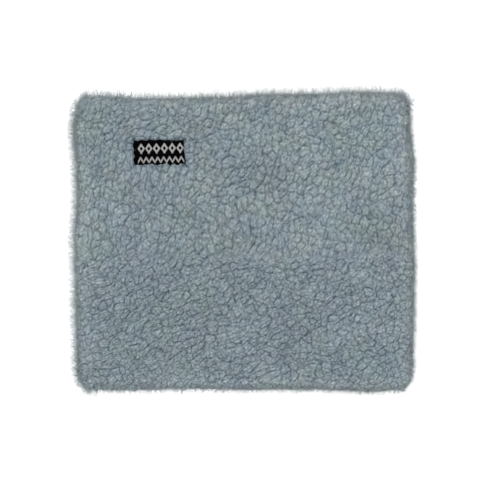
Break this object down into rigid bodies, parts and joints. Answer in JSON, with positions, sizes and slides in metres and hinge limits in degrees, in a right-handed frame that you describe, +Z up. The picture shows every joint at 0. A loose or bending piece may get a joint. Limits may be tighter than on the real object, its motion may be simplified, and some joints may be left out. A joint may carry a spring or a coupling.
{
  "type": "neck gaiter",
  "caption": "Double-layer neck gaiter: a curly-pile fabric tube with a fleece lining, turned mouth edges, a woven label and a care label, lying flat.",
  "frame": {"origin": "centre of the flat underside, on the surface that the gaiter lies on", "axes": "+Z up through the thickness, out of the front; +Y along the tube towards the upper mouth; +X to the right as seen from the front"},
  "size_m": [0.274, 0.238, 0.0304],
  "materials": {
    "sherpa": "curly matte pile",
    "lining_fleece": "brushed matte fleece",
    "thread": "polyester thread, slight sheen",
    "label_black": "damask weave",
    "label_silver": "damask weave",
    "care_label_satin": "satin ribbon"
  },
  "bodies": {
    "back_wall": {"outer_back_panel": "sherpa", "lining_back_panel": "lining_fleece", "top_edge_stitching_back": "thread", "bottom_edge_stitching_back": "thread", "side_seam_thread_left": "thread", "side_seam_thread_right": "thread", "lining_seam_thread_left": "thread", "lining_seam_thread_left_lower": "thread", "lining_seam_thread_right": "thread", "turning_gap_stitches": "thread", "care_label": "care_label_satin"},
    "front_wall": {"outer_front_panel": "sherpa", "lining_front_panel": "lining_fleece", "top_edge_stitching_front": "thread", "bottom_edge_stitching_front": "thread", "woven_label": "label_black", "label_motif_diamonds": "label_silver", "label_motif_zigzag": "label_silver", "label_stitching_left": "label_black", "label_stitching_right": "label_black"}
  },
  "joints": [
    {"name": "tube_opening", "type": "slide", "parent": "back_wall", "child": "front_wall", "axis": [0, 0, 1], "range_m": [0, 0.012]}
  ]
}
